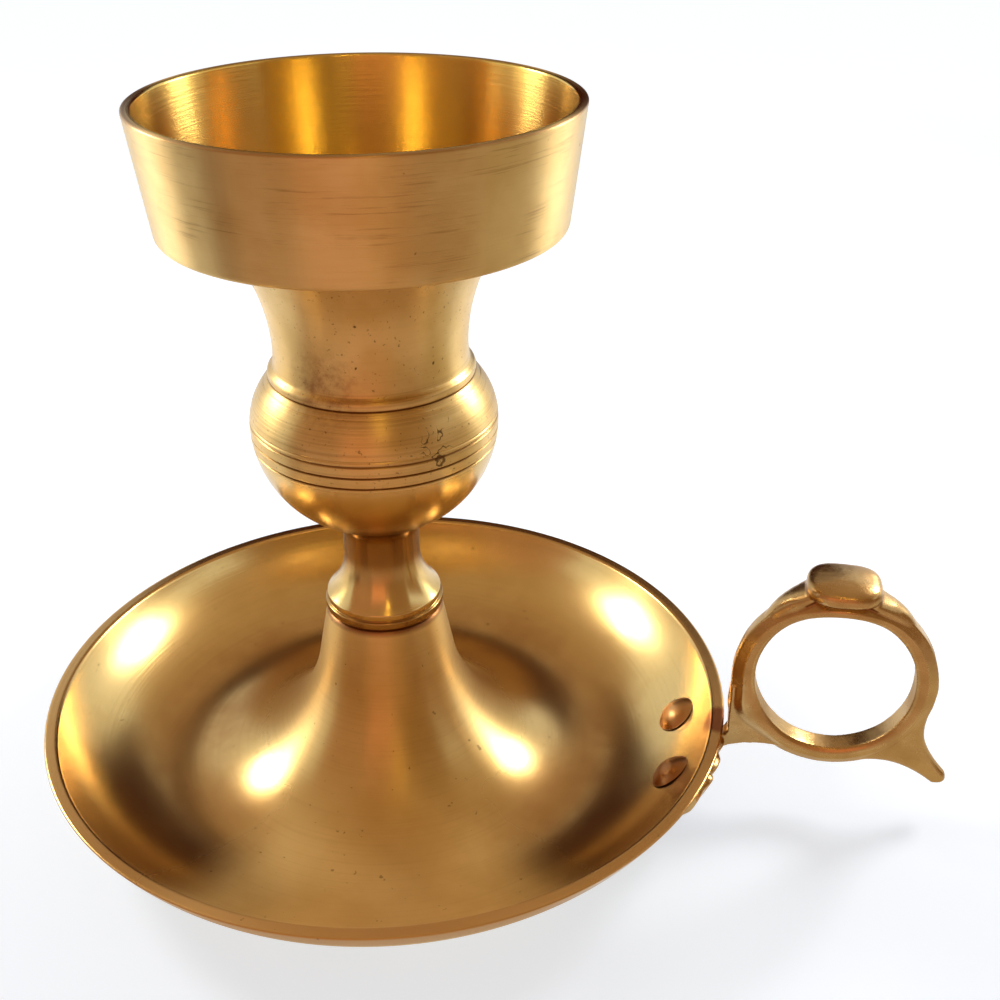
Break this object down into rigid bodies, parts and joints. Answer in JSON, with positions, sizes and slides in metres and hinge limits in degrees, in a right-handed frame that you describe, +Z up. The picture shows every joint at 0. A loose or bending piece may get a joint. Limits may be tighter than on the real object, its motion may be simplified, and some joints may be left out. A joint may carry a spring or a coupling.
{
  "type": "chamberstick with finger loop",
  "caption": "Low brass candle holder: dished drip saucer, turned vase-shaped stem with a candle socket, straight-sided cup and a cast finger loop riveted to the saucer.",
  "frame": {"origin": "on the turning axis, in the plane of the ring that the saucer stands on", "axes": "+Z up along the turning axis, out of the candle socket; +X from the turning axis towards the finger loop"},
  "size_m": [0.1157, 0.0878, 0.0863],
  "materials": {
    "saucer_brass": "turned, satin polished",
    "stem_brass": "turned from a casting, fine tool lines, small pits",
    "cup_brass": "turned, brushed round",
    "cast_brass": "sand cast, worn smooth, dulled",
    "rivet_brass": "hammered heads, dulled",
    "fastener_steel": "plain steel, slightly dulled"
  },
  "bodies": {
    "root": {"saucer": "saucer_brass", "stem": "stem_brass", "candle_cup": "cup_brass", "base_washer": "fastener_steel", "base_screw": "fastener_steel", "finger_loop": "cast_brass", "front_rivet": "rivet_brass", "back_rivet": "rivet_brass"}
  },
  "joints": []
}
